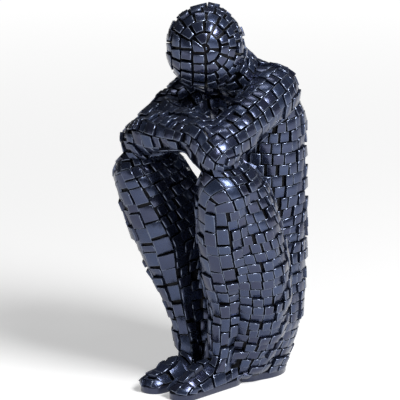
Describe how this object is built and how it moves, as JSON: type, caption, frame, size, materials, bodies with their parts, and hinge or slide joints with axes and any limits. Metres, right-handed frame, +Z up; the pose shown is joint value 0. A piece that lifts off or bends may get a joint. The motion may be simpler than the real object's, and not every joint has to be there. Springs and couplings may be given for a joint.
{
  "type": "resin figurine",
  "caption": "Cast resin figurine of a seated faceless figure hugging its knees, head bowed, with a raised mosaic tile skin over a smooth rim.",
  "frame": {"origin": "on the base plane, under the middle of the outer box", "axes": "+Z up from the base to the head, -Y the way the figure faces, +X its left side"},
  "size_m": [0.1328, 0.1532, 0.3034],
  "materials": {
    "navy_resin": "glossy navy resin with darker grooves between the tiles"
  },
  "bodies": {
    "root": {"figurine": "navy_resin"}
  },
  "joints": []
}
